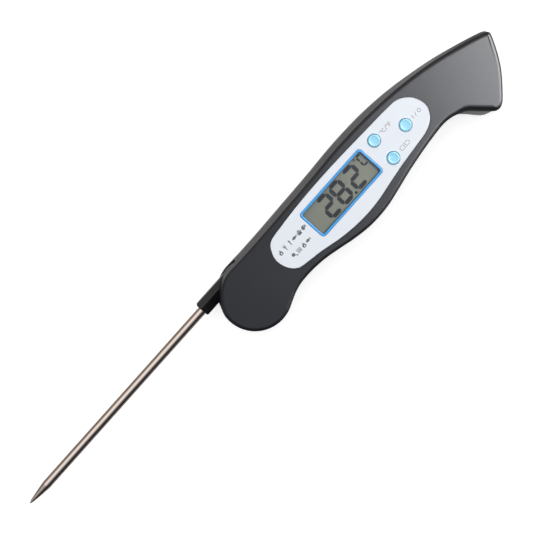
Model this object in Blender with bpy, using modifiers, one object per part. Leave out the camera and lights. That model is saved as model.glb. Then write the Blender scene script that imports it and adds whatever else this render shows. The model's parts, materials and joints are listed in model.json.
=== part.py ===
"""Folding digital meat thermometer, modelled in metres as an assembly of separate closed solids.

Frame: the origin is on the fold axis, at the rear face. +X runs along the casing towards its tail,
+Y towards its nearly straight back edge and +Z out of the display face. The thermometer lies on its
back with the probe unfolded towards -X. All named sizes below are millimetres.
"""
import math

import bmesh
import bpy

MM = 0.001

# Casing: thickness, walls and the levels of the probe slot
FRONT_Z = 18.0
WALL = 1.8
COVER_WALL = 2.0
STEP = 0.1
EDGE_ROUND = 1.6
SLOT_LOW_Z = 6.1
SLOT_HIGH_Z = 12.3
PARTING_Z = 9.2
PARTING_GAP = 0.2
SKIN_Z = FRONT_Z - WALL
SLOT_WALL = 1.2
SLOT_BACK_Y = -8.4
BAY_EDGE_Y = SLOT_BACK_Y + SLOT_WALL
BAY_START_X = 21.0
BAY_END_X = 127.0
COVERED_END_X = 112.0
OUTLINE_STEP = 3.0
FLAT_DEG = 0.05
FIT_GAP = 0.2
# reach of the cutting blocks past the casing
BEYOND_X = (-40.0, 160.0)
BEYOND_Y = (-40.0, 40.0)
BEYOND_Z = (-5.0, 25.0)

# Round end and the probe that folds in it
DISC_CENTER = (0.1, -0.4)
DISC_R = 15.05
HUB_R = 14.2
HUB_POCKET_R = 14.4
HUB_LOW_Z = 6.4
HUB_HIGH_Z = 12.0
MOUTH_END_X = 4.3
PROBE_Y = 10.6
PROBE_Z = PARTING_Z
TUBE_R = 1.82
TUBE_BORE_R = 1.4
TUBE_START_X = -4.5
CONE_START_X = -114.1
LEAD_R = 0.3
TIP_MID_X = -119.6
TIP_MID_R = 1.08
TIP_X = -124.2
TIP_FLAT_R = 0.2
NECK_SECTION = [(1.15, 2.85), (3.4, 2.55), (3.4, -2.55), (1.15, -2.85), (-2.9, -1.3), (-2.9, 1.3)]
NECK_BACK_Y = 2.9
NECK_END_X = -19.35
NECK_CHAMFER = 0.45
SWEEP_R = 125.2
POST_R = 2.6
BUSH_R = 3.4
HUB_BORE_R = 3.7
HUB_RECESS_R = 6.5
HUB_RECESS_Z = 10.2

# Display stack, from the panel down to the circuit board
PANEL_TOP_Z = 17.85
PANEL_T = 0.8
POCKET_Z = 16.9
FRAME_X = (35.3, 71.4)
FRAME_Y = (-5.7, 7.7)
FRAME_W = 0.85
FRAME_CORNER = 1.5
GLASS_X = (34.3, 72.3)
GLASS_Y = (-6.3, 8.9)
GLASS_Z = (14.2, 16.0)
BOARD_X = (29.5, 99.5)
BOARD_Y = (-6.9, 9.8)
BOARD_Z = (10.4, 11.4)
HOLDER_Z = (11.6, 14.0)

# Buttons: name and centre
BUTTONS = {"units": (77.6, 5.2), "hold": (77.6, -5.2), "power": (90.6, 0.0)}
BUTTON_R = 2.5
BUTTON_HOLE_R = 2.75
BUTTON_TOP_Z = 18.65
FLANGE_R = 3.3
FLANGE_T = 0.8
SWITCH_SIDE = 3.4
SWITCH_Z = (11.6, 13.4)
WELL_R = 1.1
WELL_Z = 12.1
PLUNGER_R = 0.8
PLUNGER_Z = (12.8, 15.0)

# Coin cell, its compartment and its screw cap
CELL_XY = (58.0, -0.5)
CELL_R = 10.0
CELL_Z = (1.7, 4.9)
CUP_R = 12.4
CUP_TOP_Z = 6.0
CUP_CEILING_Z = 5.1
CAP_HOLE_R = 11.4
CAP_LEDGE_Z = 2.0
CAP_R = 11.1
CAP_Z = (0.2, 1.2)
CAP_BOSS_R = 9.9
CAP_BOSS_Z = 1.5
SEAL_R = 10.5
SEAL_WIRE_R = 0.28

# Fasteners and the magnet on the fold axis
CASE_SCREWS = [(24.5, 8.2), (105.0, 3.5), (131.5, -4.5)]
BOARD_SCREWS = [(31.8, 7.4), (97.2, 7.2), (97.2, -4.4)]
CASE_BOSS_R = (2.6, 3.4)
CASE_PILOT_R = 1.3
CASE_WAY_R = 1.35
HEAD_RECESS_R = 2.4
HEAD_RECESS_Z = 3.2
PIVOT_WAY_R = 1.5
PIVOT_RECESS_R = 2.6
PIVOT_RECESS_Z = 3.8
BOARD_BOSS_R = 1.9
BOARD_PILOT_R = 0.9
MAGNET_R = 6.0
MAGNET_T = 1.6
MAGNET_RECESS_Z = 1.9

# Plan outlines, in order round the casing; the smooth curve passes through every point
UPPER_EDGE = [(10, 14.45), (20, 14.5), (35, 14.8), (50, 15.12), (65, 15.65), (80, 15.3), (93, 13.95),
              (105, 11.7), (118, 8.4), (129, 4.75), (136.7, 1.85)]
TAIL_CORNER = [(139.6, 0.45), (140.4, -0.7), (139.85, -2.2)]
TAIL_EDGE = [(138.2, -5.3), (135.7, -9.5), (132.55, -13.8), (128.8, -17.85), (125.0, -21.5)]
HOOK_TIP = [(123.1, -23.05), (121.1, -23.95), (119.2, -23.65)]
FRONT_HOOK_EDGE = [(117.6, -22.4), (114.5, -18.9), (111.4, -15.3), (108.3, -13.3), (104.6, -11.85)]
REAR_HOOK_EDGE = [(117.2, -23.1), (114.4, -21.7), (112.2, -19.2), (110.1, -16.3), (107.6, -13.7),
                  (104.4, -11.85)]
LOWER_EDGE = [(100, -11.3), (92, -11.85), (84, -12.8), (76, -14.05), (68, -15.6), (62, -16.55),
              (56, -16.85), (50, -16.5), (43, -15.25), (36, -13.45), (29, -11.85), (22, -11.1),
              (16, -11.2), (12, -12.0), (8.6, -13.2)]
DISC_ARC_DEG = (-70.0, -274.0)
DISC_ARC_STEPS = 9
PANEL_EDGE = [(15.7, 1.2), (16.6, 5.2), (20, 9.1), (28, 10.2), (40, 11.0), (52, 11.25), (65, 11.05),
              (80, 10.5), (90, 10.1), (96, 9.2), (100.2, 5.9), (102.0, 1.6), (101.6, -2.4), (98.8, -6.0),
              (94, -8.1), (86, -9.0), (78, -9.8), (70, -10.9), (62, -12.1), (55, -12.5), (47, -12.1),
              (39, -10.8), (31, -8.8), (24, -7.5), (19.5, -6.3), (16.8, -3.2)]


# ---------------------------------------------------------------- scene, materials and mesh helpers

def clear_scene():
    for old in list(bpy.data.objects):
        bpy.data.objects.remove(old, do_unlink=True)


def new_collection(name):
    collection = bpy.data.collections.new(name)
    bpy.context.scene.collection.children.link(collection)
    return collection


def make_material(name, color, roughness, metallic=0.0):
    material = bpy.data.materials.new(name)
    material.use_nodes = True
    shader = material.node_tree.nodes["Principled BSDF"]
    shader.inputs["Base Color"].default_value = (*color, 1.0)
    shader.inputs["Roughness"].default_value = roughness
    shader.inputs["Metallic"].default_value = metallic
    return material


def place(obj, collection):
    """Moves an object into one collection only."""
    for old in list(obj.users_collection):
        old.objects.unlink(obj)
    collection.objects.link(obj)
    return obj


def finish_part(obj, material, smooth_deg=35.0):
    """Gives a finished piece its material and smooth shading, in the parts' collection."""
    place(obj, PARTS)
    obj.data.materials.clear()
    obj.data.materials.append(material)
    obj.data.shade_smooth()
    obj.data.set_sharp_from_angle(angle=math.radians(smooth_deg))
    return obj


def as_cutter(obj):
    """Keeps a solid as the operand of a Boolean only."""
    place(obj, CUTTERS)
    obj.hide_render = True
    obj.display_type = "WIRE"
    return obj


def boolean(target, operand, operation):
    modifier = target.modifiers.new(operation.lower(), "BOOLEAN")
    modifier.operation = operation
    modifier.solver = "EXACT"
    modifier.object = as_cutter(operand)


def cut(target, *tools):
    for tool in tools:
        boolean(target, tool, "DIFFERENCE")


def join(target, *additions):
    for addition in additions:
        boolean(target, addition, "UNION")


def mesh_from_curve(curve_object, name):
    """Replaces a curve object by its mesh, with the caps welded to the sides."""
    bpy.context.view_layer.update()
    evaluated = curve_object.evaluated_get(bpy.context.evaluated_depsgraph_get())
    mesh = bpy.data.meshes.new_from_object(evaluated)
    shape = bmesh.new()
    shape.from_mesh(mesh)
    bmesh.ops.remove_doubles(shape, verts=shape.verts, dist=0.001 * MM)
    bmesh.ops.dissolve_limit(shape, angle_limit=math.radians(FLAT_DEG), verts=shape.verts,
                             edges=shape.edges)
    shape.to_mesh(mesh)
    shape.free()
    obj = bpy.data.objects.new(name, mesh)
    obj.matrix_world = curve_object.matrix_world
    bpy.data.objects.remove(curve_object, do_unlink=True)
    return place(obj, PARTS)


def prism(name, outlines, z_low, z_high):
    """A flat plate between two levels: the first outline is its edge, the others are holes in it."""
    curve = bpy.data.curves.new(name, "CURVE")
    curve.dimensions = "2D"
    curve.fill_mode = "BOTH"
    curve.extrude = 0.5 * (z_high - z_low) * MM
    for outline in outlines:
        spline = curve.splines.new("POLY")
        spline.points.add(len(outline) - 1)
        for point, (x, y) in zip(spline.points, outline):
            point.co = (x * MM, y * MM, 0.0, 1.0)
        spline.use_cyclic_u = True
    obj = bpy.data.objects.new(name + "_outline", curve)
    obj.location.z = 0.5 * (z_low + z_high) * MM
    bpy.context.scene.collection.objects.link(obj)
    return mesh_from_curve(obj, name)


def box(name, x_range, y_range, z_range):
    bpy.ops.mesh.primitive_cube_add(size=1.0)
    obj = bpy.context.object
    obj.name = name
    low, high = zip(x_range, y_range, z_range)
    for vertex in obj.data.vertices:
        for axis in range(3):
            middle = 0.5 * (low[axis] + high[axis])
            vertex.co[axis] = (middle + vertex.co[axis] * (high[axis] - low[axis])) * MM
    return place(obj, PARTS)


def cylinder(name, radius, z_low, z_high, center=(0.0, 0.0), sides=32):
    bpy.ops.mesh.primitive_cylinder_add(vertices=sides, radius=radius * MM, depth=(z_high - z_low) * MM)
    obj = bpy.context.object
    obj.name = name
    obj.location = (center[0] * MM, center[1] * MM, 0.5 * (z_low + z_high) * MM)
    return place(obj, PARTS)


def cylinder_along_x(name, radius, x_low, x_high, center_yz, sides=24):
    obj = cylinder(name, radius, 0.0, x_high - x_low, sides=sides)
    obj.rotation_euler.y = math.radians(90.0)
    obj.location = (0.5 * (x_low + x_high) * MM, center_yz[0] * MM, center_yz[1] * MM)
    return obj


def turned(name, profile, center=(0.0, 0.0), sides=24, closed=False):
    """A turned shape: (radius, height) points from top to bottom down its outer side."""
    mesh = bpy.data.meshes.new(name)
    shape = bmesh.new()
    corners = [shape.verts.new((r * MM, 0.0, z * MM)) for r, z in profile]
    for start, end in zip(corners, corners[1:]):
        shape.edges.new((start, end))
    if closed:
        shape.edges.new((corners[-1], corners[0]))
    shape.to_mesh(mesh)
    shape.free()
    obj = bpy.data.objects.new(name, mesh)
    obj.location = (center[0] * MM, center[1] * MM, 0.0)
    screw = obj.modifiers.new("turn", "SCREW")
    screw.steps = sides
    screw.render_steps = sides
    screw.use_merge_vertices = True
    screw.merge_threshold = 0.001 * MM
    return place(obj, PARTS)


def round_edges(obj, width, segments=2, angle_deg=50.0):
    bevel = obj.modifiers.new("rounded edges", "BEVEL")
    bevel.width = width * MM
    bevel.segments = segments
    bevel.limit_method = "ANGLE"
    bevel.angle_limit = math.radians(angle_deg)
    return obj


def wire(name, route, radius):
    """A thin round wire along a smooth open route."""
    curve = bpy.data.curves.new(name, "CURVE")
    curve.dimensions = "3D"
    curve.bevel_depth = radius * MM
    curve.bevel_resolution = 1
    curve.use_fill_caps = True
    points = smooth_run(route, 2)
    spline = curve.splines.new("POLY")
    spline.points.add(len(points) - 1)
    for point, place_mm in zip(spline.points, points):
        point.co = (*[value * MM for value in place_mm], 1.0)
    obj = bpy.data.objects.new(name + "_route", curve)
    bpy.context.scene.collection.objects.link(obj)
    return mesh_from_curve(obj, name)


def strip(name, path_xz, y_range, thickness):
    """A bent sheet-metal strip: its side view is a path in X and Z, its width runs along Y."""
    mesh = bpy.data.meshes.new(name)
    shape = bmesh.new()
    corners = [shape.verts.new((x * MM, y_range[0] * MM, z * MM)) for x, z in path_xz]
    edges = [shape.edges.new(pair) for pair in zip(corners, corners[1:])]
    swept = bmesh.ops.extrude_edge_only(shape, edges=edges)["geom"]
    moved = [item for item in swept if isinstance(item, bmesh.types.BMVert)]
    bmesh.ops.translate(shape, verts=moved, vec=(0.0, (y_range[1] - y_range[0]) * MM, 0.0))
    shape.to_mesh(mesh)
    shape.free()
    obj = bpy.data.objects.new(name, mesh)
    solidify = obj.modifiers.new("sheet", "SOLIDIFY")
    solidify.thickness = thickness * MM
    solidify.offset = 0.0
    return place(obj, PARTS)


# ---------------------------------------------------------------- outlines

def catmull_rom(p0, p1, p2, p3, t):
    return tuple(0.5 * (2 * b + (c - a) * t + (2 * a - 5 * b + 4 * c - d) * t ** 2
                        + (3 * b - a - 3 * c + d) * t ** 3)
                 for a, b, c, d in zip(p0, p1, p2, p3))


def smooth_loop(points, step=OUTLINE_STEP):
    """Samples the closed smooth curve through the points about every step millimetres."""
    count = len(points)
    loop = []
    for i in range(count):
        around = [points[(i + k) % count] for k in (-1, 0, 1, 2)]
        pieces = max(1, round(math.dist(around[1], around[2]) / step))
        loop.extend(catmull_rom(*around, k / pieces) for k in range(pieces))
    return loop


def smooth_run(points, pieces):
    """Samples the open smooth curve through the points, with pieces samples to each span."""
    ends = [points[0], *points, points[-1]]
    run = [catmull_rom(*ends[i:i + 4], k / pieces) for i in range(len(points) - 1) for k in range(pieces)]
    return run + [tuple(points[-1])]


def inset(loop, distance):
    """Moves a clockwise closed outline inwards by a distance, or outwards if it is negative."""
    moved = []
    for i, (x, y) in enumerate(loop):
        before = loop[i - 1]
        after = loop[(i + 1) % len(loop)]
        along = (after[0] - before[0], after[1] - before[1])
        length = math.hypot(*along)
        moved.append((x + along[1] / length * distance, y - along[0] / length * distance))
    return moved


def polar(radius, angle_deg):
    angle = math.radians(angle_deg)
    return (radius * math.cos(angle), radius * math.sin(angle))


def disc_arc():
    first, last = DISC_ARC_DEG
    turns = [polar(DISC_R, first + (last - first) * k / DISC_ARC_STEPS) for k in range(DISC_ARC_STEPS + 1)]
    return [(DISC_CENTER[0] + dx, DISC_CENTER[1] + dy) for dx, dy in turns]


def casing_outline(hook_edge):
    return smooth_loop(UPPER_EDGE + TAIL_CORNER + TAIL_EDGE + HOOK_TIP + hook_edge + LOWER_EDGE + disc_arc())


def bay_outline(outline, wall, end_x, low_y=-math.inf):
    """The room inside a wall, between the hub and end_x, kept above low_y."""
    inner = inset(outline, wall)
    return [(x, max(y, low_y)) for x, y in inner if BAY_START_X < x < end_x]


def rounded_rectangle(x_range, y_range, radius, steps=4):
    left, right = grown(x_range, -radius)
    low, high = grown(y_range, -radius)
    points = []
    for x, y, start in ((right, high, 0), (left, high, 90), (left, low, 180), (right, low, 270)):
        for k in range(steps + 1):
            dx, dy = polar(radius, start + 90.0 * k / steps)
            points.append((x + dx, y + dy))
    return points


def circle(center, radius, sides=24):
    turns = [polar(radius, 360.0 * k / sides) for k in range(sides)]
    return [(center[0] + dx, center[1] + dy) for dx, dy in turns]


def grown(value_range, amount):
    return (value_range[0] - amount, value_range[1] + amount)


def slot_band():
    """Plan of the probe slot beside the bay, ended by the arc that the folding tip sweeps."""
    beyond_y = -30.0
    first = math.degrees(math.asin(SLOT_BACK_Y / SWEEP_R))
    last = math.degrees(math.asin(beyond_y / SWEEP_R))
    steps = 8
    arc = [polar(SWEEP_R, first + (last - first) * k / steps) for k in range(steps + 1)]
    return [(0.0, SLOT_BACK_Y)] + arc + [(0.0, beyond_y)]


# ---------------------------------------------------------------- casing

def slot_cutters(owner):
    """The room between the shells that the hub, the neck and the tube move in."""
    levels = (SLOT_LOW_Z, SLOT_HIGH_Z)
    far = 30.0
    neck_back_y = -(PROBE_Y - NECK_BACK_Y) + 2 * FIT_GAP
    return [box(owner + "_mouth", (-far, MOUTH_END_X), (-far, far), levels),
            cylinder(owner + "_hub_room", HUB_POCKET_R, *levels, sides=48),
            box(owner + "_neck_room", (0.0, -NECK_END_X + 2 * FIT_GAP), (-far, neck_back_y), levels),
            prism(owner + "_slot", [slot_band()], *levels)]


def make_front_shell(outline):
    shell = round_edges(prism("front_shell", [outline], 0.0, FRONT_Z), EDGE_ROUND)
    cut(shell, box("below_parting", BEYOND_X, BEYOND_Y, (BEYOND_Z[0], PARTING_Z + 0.5 * PARTING_GAP)))
    cut(shell, *slot_cutters("front"))
    cut(shell, prism("front_bay", [bay_outline(outline, WALL, BAY_END_X, BAY_EDGE_Y)], 0.0, SKIN_Z))
    cut(shell, prism("front_slot_cover_room", [bay_outline(outline, COVER_WALL, COVERED_END_X)],
                     SLOT_HIGH_Z + SLOT_WALL, SKIN_Z - STEP))
    cut(shell, cylinder("disc_room", DISC_R - EDGE_ROUND - 0.6, SLOT_HIGH_Z + SLOT_WALL + STEP,
                        SKIN_Z - 2 * STEP, DISC_CENTER, 32))
    cut(shell, box("lead_groove", (HUB_BORE_R + 0.5, BAY_START_X + 2), (-1.7, 1.7),
                   (SLOT_HIGH_Z - 0.5, SKIN_Z - 3 * STEP)))
    boss_top = SKIN_Z + 0.3
    join(shell, cylinder("pivot_post", POST_R, HUB_LOW_Z + FIT_GAP, boss_top))
    for number, spot in enumerate(CASE_SCREWS[:2], 1):
        join(shell, cylinder(f"front_boss_{number}", CASE_BOSS_R[0], PARTING_Z + 0.5 * PARTING_GAP, boss_top,
                             spot, 20))
    for number, spot in enumerate(BOARD_SCREWS, 1):
        join(shell, cylinder(f"board_boss_{number}", BOARD_BOSS_R, BOARD_Z[1] + FIT_GAP, boss_top, spot, 16))
        cut(shell, cylinder(f"board_pilot_{number}", BOARD_PILOT_R, BOARD_Z[1], SKIN_Z - 0.4, spot, 12))
    for number, spot in enumerate([(0.0, 0.0)] + CASE_SCREWS, 1):
        cut(shell, cylinder(f"front_pilot_{number}", CASE_PILOT_R, HUB_LOW_Z - 1, SKIN_Z - 1.5, spot, 16))
    view = (grown(FRAME_X, -1.7), grown(FRAME_Y, -1.5))
    cut(shell, prism("display_opening", [rounded_rectangle(*view, 0.8)], SKIN_Z - 1, FRONT_Z + 1))
    for name, spot in BUTTONS.items():
        cut(shell, cylinder(name + "_hole", BUTTON_HOLE_R, SKIN_Z - 1, FRONT_Z + 1, spot, 24))
    cut(shell, prism("panel_pocket", [inset(smooth_loop(PANEL_EDGE), -FIT_GAP)], POCKET_Z, FRONT_Z + 2))
    return shell


def make_rear_shell(outline):
    shell = round_edges(prism("rear_shell", [outline], 0.0, FRONT_Z), EDGE_ROUND)
    cut(shell, box("above_parting", BEYOND_X, BEYOND_Y, (PARTING_Z - 0.5 * PARTING_GAP, BEYOND_Z[1])))
    cut(shell, *slot_cutters("rear"))
    cut(shell, prism("rear_bay", [bay_outline(outline, WALL, BAY_END_X, BAY_EDGE_Y)], WALL, FRONT_Z))
    cut(shell, prism("rear_slot_cover_room", [bay_outline(outline, COVER_WALL, COVERED_END_X)],
                     WALL + STEP, SLOT_LOW_Z - SLOT_WALL))
    join(shell, cylinder("cell_cup", CUP_R, 0.5 * WALL, CUP_TOP_Z, CELL_XY, 40))
    for number, spot in enumerate(CASE_SCREWS[:2], 1):
        join(shell, cylinder(f"rear_boss_{number}", CASE_BOSS_R[1], 0.5 * WALL,
                             PARTING_Z - 0.5 * PARTING_GAP, spot, 20))
    for number, spot in enumerate(CASE_SCREWS, 1):
        cut(shell, cylinder(f"case_screw_way_{number}", CASE_WAY_R, -1, PARTING_Z + 1, spot, 16),
            cylinder(f"case_screw_recess_{number}", HEAD_RECESS_R, -1, HEAD_RECESS_Z, spot, 24))
    cut(shell, cylinder("pivot_screw_way", PIVOT_WAY_R, -1, PARTING_Z, sides=16),
        cylinder("pivot_screw_recess", PIVOT_RECESS_R, -1, PIVOT_RECESS_Z, sides=24),
        cylinder("magnet_recess", MAGNET_R + FIT_GAP, -1, MAGNET_RECESS_Z, sides=40))
    cut(shell, cylinder("cell_room", CELL_R + 0.35, 1, CUP_CEILING_Z, CELL_XY, 40),
        cylinder("cap_hole", CAP_HOLE_R, -1, CAP_LEDGE_Z, CELL_XY, 40))
    cx, cy = CELL_XY
    cut(shell, box("negative_contact_way", (cx - 9.4, cx - 1.6), (cy + 0.8, cy + 5.2), (4.5, 7)),
        box("positive_contact_way", (cx + 9.2, cx + 14.0), (cy - 2.0, cy + 2.0), (2.6, 7)))
    return shell


def make_panel():
    window = rounded_rectangle(grown(FRAME_X, 0.15), grown(FRAME_Y, 0.15), FRAME_CORNER + 0.15)
    holes = [circle(spot, BUTTON_HOLE_R) for spot in BUTTONS.values()]
    return prism("face_panel", [smooth_loop(PANEL_EDGE), window, *holes], PANEL_TOP_Z - PANEL_T, PANEL_TOP_Z)


# ---------------------------------------------------------------- display and electronics

def make_display():
    low = POCKET_Z + 0.15
    inner = (grown(FRAME_X, -FRAME_W), grown(FRAME_Y, -FRAME_W))
    frame = prism("display_frame", [rounded_rectangle(FRAME_X, FRAME_Y, FRAME_CORNER),
                                    rounded_rectangle(*inner, FRAME_CORNER - 0.6)], low, PANEL_TOP_Z + 0.1)
    lens = prism("display_window", [rounded_rectangle(grown(inner[0], -0.15), grown(inner[1], -0.15),
                                                      FRAME_CORNER - 0.7)], low, PANEL_TOP_Z - 0.15)
    glass = box("display_glass", GLASS_X, GLASS_Y, GLASS_Z)
    holder = prism("display_holder", [rounded_rectangle(GLASS_X, GLASS_Y, 0.8, 2),
                                      rounded_rectangle(grown(GLASS_X, -1.5), grown(GLASS_Y, -1.5), 0.5, 1)],
                   *HOLDER_Z)
    zebra = box("zebra_strip", grown(GLASS_X, -3.7), (GLASS_Y[1] - 3.8, GLASS_Y[1] - 1.8), HOLDER_Z)
    finish_part(frame, BLUE)
    finish_part(lens, CLEAR)
    finish_part(glass, LCD_GREY)
    finish_part(holder, WHITE)
    finish_part(zebra, SEAL_RUBBER)


def make_board():
    board = prism("circuit_board", [rounded_rectangle(BOARD_X, BOARD_Y, 1.5, 2)], *BOARD_Z)
    for number, spot in enumerate(BOARD_SCREWS, 1):
        cut(board, cylinder(f"board_hole_{number}", 1.0, BOARD_Z[0] - 1, BOARD_Z[1] + 1, spot, 16))
    under = BOARD_Z[0] - FIT_GAP
    dome = [(4.0 * math.sin(math.radians(a)), under - 1.4 * math.cos(math.radians(a)))
            for a in range(90, -1, -18)]
    dome = [(0.0, under)] + dome[:-1] + [(0.0, under - 1.4)]
    finish_part(board, BOARD_GREEN)
    finish_part(turned("chip_cover", dome, (80.0, 2.0), 24), BLACK)
    finish_part(cylinder_along_x("clock_crystal", 1.0, 84.0, 90.0, (6.4, under - 1.0), 16), STEEL)
    finish_part(box("capacitor_a", (87.0, 89.0), (-4.2, -3.0), (under - 1.2, under)), BRASS)
    finish_part(box("capacitor_b", (91.0, 93.0), (-4.2, -3.0), (under - 1.2, under)), BRASS)


def make_button(name, spot):
    """A cap with a hidden flange, the switch's plunger under it, and the switch on the board."""
    flange_top = SKIN_Z - FIT_GAP
    cap = [(0.0, BUTTON_TOP_Z), (BUTTON_R - 1.0, BUTTON_TOP_Z - 0.05), (BUTTON_R - 0.3, BUTTON_TOP_Z - 0.2),
           (BUTTON_R, BUTTON_TOP_Z - 0.55), (BUTTON_R, flange_top), (FLANGE_R, flange_top),
           (FLANGE_R, flange_top - FLANGE_T), (0.0, flange_top - FLANGE_T)]
    half = 0.5 * SWITCH_SIDE
    x, y = spot
    switch = box(name + "_switch", (x - half, x + half), (y - half, y + half), SWITCH_Z)
    cut(switch, cylinder(name + "_well", WELL_R, WELL_Z, SWITCH_Z[1] + 1, spot, 16))
    finish_part(turned(name + "_button", cap, spot), CYAN)
    finish_part(cylinder(name + "_plunger", PLUNGER_R, *PLUNGER_Z, spot, 12), BLACK)
    finish_part(switch, STEEL)


def make_cell_parts():
    cx, cy = CELL_XY
    edge = 0.4
    cell = turned("coin_cell", [(0.0, CELL_Z[1]), (CELL_R - 1.2, CELL_Z[1]), (CELL_R - 1.0, CELL_Z[1] - 0.3),
                                (CELL_R - edge, CELL_Z[1] - 0.5), (CELL_R, CELL_Z[1] - 0.5 - edge),
                                (CELL_R, CELL_Z[0] + edge), (CELL_R - edge, CELL_Z[0]), (0.0, CELL_Z[0])],
                  CELL_XY, 32)
    board_low = BOARD_Z[0] - FIT_GAP
    minus = strip("contact_negative", [(cx - 8.6, board_low), (cx - 8.6, 6.9), (cx - 7.8, 6.2),
                                       (cx - 3.6, 5.3), (cx - 2.2, 5.7)], (cy + 1.6, cy + 4.4), 0.25)
    plus = strip("contact_positive", [(cx + 12.4, board_low), (cx + 12.4, 6.0), (cx + 10.6, 4.2),
                                      (cx + 11.2, 3.0)], (cy - 1.4, cy + 1.4), 0.25)
    cap = turned("battery_cap", [(0.0, CAP_BOSS_Z), (CAP_BOSS_R, CAP_BOSS_Z), (CAP_BOSS_R, CAP_Z[1]),
                                 (CAP_R, CAP_Z[1]), (CAP_R, CAP_Z[0] + 0.2), (CAP_R - 0.2, CAP_Z[0]),
                                 (0.0, CAP_Z[0])], CELL_XY, 40)
    cut(cap, box("coin_slot", (cx - 7.0, cx + 7.0), (cy - 0.9, cy + 0.9), (-1.0, CAP_Z[0] + 0.6)))
    bpy.ops.mesh.primitive_torus_add(major_segments=32, minor_segments=6, major_radius=SEAL_R * MM,
                                     minor_radius=SEAL_WIRE_R * MM)
    seal = bpy.context.object
    seal.name = "cap_seal"
    seal.location = (cx * MM, cy * MM, 0.5 * (CAP_Z[1] + CAP_LEDGE_Z) * MM)
    finish_part(cell, STEEL)
    finish_part(minus, BRASS)
    finish_part(plus, BRASS)
    finish_part(cap, CHARCOAL)
    finish_part(seal, SEAL_RUBBER)


# ---------------------------------------------------------------- fasteners and pivot

def screw_profile(head_r, head_z, shank_r, top_z):
    """A pan-head screw driven upwards: its head is low, its point is high."""
    return [(0.0, top_z), (0.4 * shank_r, top_z), (shank_r, top_z - 1.2), (shank_r, head_z[1]),
            (head_r, head_z[1]), (head_r, head_z[0] + 0.5), (head_r - 0.5, head_z[0]), (0.0, head_z[0])]


def make_screw(name, spot, head_r, head_z, shank_r, top_z, sides=16):
    screw = turned(name, screw_profile(head_r, head_z, shank_r, top_z), spot, sides)
    socket_z = head_z[0] + 0.5 * (head_z[1] - head_z[0])
    cut(screw, cylinder(name + "_socket", 0.5 * head_r, head_z[0] - 1.0, socket_z, spot, 6))
    return finish_part(screw, STEEL)


def make_fasteners():
    make_screw("pivot_screw", (0.0, 0.0), 2.3, (2.2, 3.6), 1.1, 14.0)
    for number, spot in enumerate(CASE_SCREWS, 1):
        make_screw(f"case_screw_{number}", spot, 2.1, (1.6, 3.0), 1.1, 14.0)
    for number, spot in enumerate(BOARD_SCREWS, 1):
        make_screw(f"board_screw_{number}", spot, 1.5, (9.2, BOARD_Z[0] - FIT_GAP), 0.7, 15.0, 12)
    finish_part(cylinder("fridge_magnet", MAGNET_R, 0.0, MAGNET_T, sides=40), MAGNET_GREY)
    bush = [(BUSH_R, HUB_HIGH_Z + 0.1), (BUSH_R, HUB_LOW_Z + 0.2),
            (POST_R + FIT_GAP, HUB_LOW_Z + 0.2), (POST_R + FIT_GAP, HUB_HIGH_Z + 0.1)]
    finish_part(turned("pivot_bush", bush, sides=28, closed=True), BRASS)
    washer = [(HUB_RECESS_R - 0.6, 6.9), (HUB_RECESS_R - 0.6, 6.3), (HUB_BORE_R + 0.3, 6.3),
              (HUB_BORE_R + 0.3, 6.9)]
    finish_part(turned("wave_washer", washer, sides=28, closed=True), STEEL)


# ---------------------------------------------------------------- probe

def neck_bar():
    """A six-sided bar, ridged along its top, from the hub to the steel tube."""
    bar = prism("neck_bar", [NECK_SECTION], NECK_END_X, 0.0)
    bar.rotation_euler = (math.radians(90.0), 0.0, math.radians(90.0))
    bar.location = (0.5 * NECK_END_X * MM, PROBE_Y * MM, PROBE_Z * MM)
    return bar


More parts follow.
